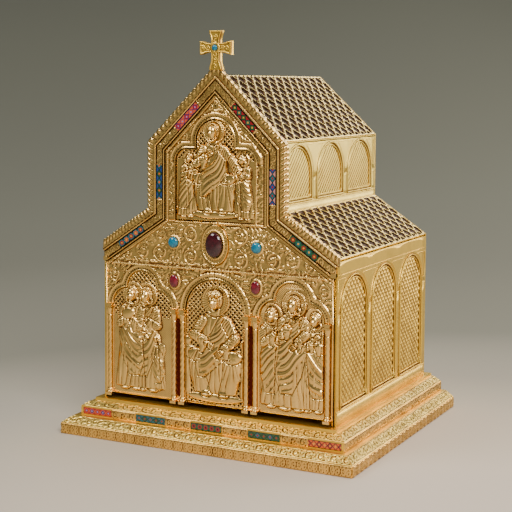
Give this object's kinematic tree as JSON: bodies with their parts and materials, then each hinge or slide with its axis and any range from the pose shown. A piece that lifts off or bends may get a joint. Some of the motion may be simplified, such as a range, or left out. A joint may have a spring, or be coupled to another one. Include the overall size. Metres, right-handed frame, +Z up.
{
  "type": "altar tabernacle",
  "caption": "Gilt altar tabernacle shaped like a small basilica on a stepped plinth, with a pair of hinged relief doors that open into a hollow box.",
  "frame": {"origin": "middle of the plinth's underside, on the surface that it stands on", "axes": "+Z up, +X to the right of someone who faces the doors, +Y towards the back, so the doors face -Y"},
  "size_m": [0.396, 0.3614, 0.5032],
  "materials": {
    "satin_gilt": "satin gold plating on sheet brass, softly brushed",
    "roof_gilt": "bright gold rims round dark oxidised tile hollows",
    "relief_gilt": "polished warm gold plating on cast and chased brass",
    "garnet": "polished deep red cabochon",
    "turquoise": "polished opaque blue cabochon",
    "enamel": "opaque fired enamel in small geometric fields"
  },
  "bodies": {
    "house": {"lower_plinth_step": "satin_gilt", "upper_plinth_step": "satin_gilt", "sill_plate": "satin_gilt", "side_wall_left": "satin_gilt", "side_wall_right": "satin_gilt", "clerestory_wall_left": "satin_gilt", "clerestory_wall_right": "satin_gilt", "back_wall": "satin_gilt", "aisle_roof_left": "roof_gilt", "aisle_roof_right": "roof_gilt", "nave_roof_left": "roof_gilt", "nave_roof_right": "roof_gilt", "front_frame": "relief_gilt", "roof_cross": "relief_gilt", "cross_stone": "turquoise", "aisle_enamel_left": "enamel", "aisle_enamel_right": "enamel", "upright_enamel_left": "enamel", "upright_enamel_right": "enamel", "gable_enamel_left": "enamel", "gable_enamel_right": "enamel", "plinth_enamel_1": "enamel", "plinth_enamel_2": "enamel", "plinth_enamel_3": "enamel", "plinth_enamel_4": "enamel", "plinth_enamel_5": "enamel"},
    "left_door": {"door_leaf_left": "relief_gilt", "left_niche_plaque": "relief_gilt", "turquoise_left": "turquoise", "garnet_left": "garnet"},
    "right_door": {"door_leaf_right": "relief_gilt", "right_niche_plaque": "relief_gilt", "centre_niche_plaque": "relief_gilt", "gable_plaque": "relief_gilt", "centre_stone_mount": "relief_gilt", "centre_stone": "garnet", "turquoise_right": "turquoise", "garnet_right": "garnet"}
  },
  "joints": [
    {"name": "left_door_hinge", "type": "hinge", "parent": "house", "child": "left_door", "pos_m": [-0.1555, -0.14025, 0], "axis": [0, 0, -1], "range_deg": [0, 110]},
    {"name": "right_door_hinge", "type": "hinge", "parent": "house", "child": "right_door", "pos_m": [0.1555, -0.14025, 0], "axis": [0, 0, 1], "range_deg": [0, 110]}
  ]
}
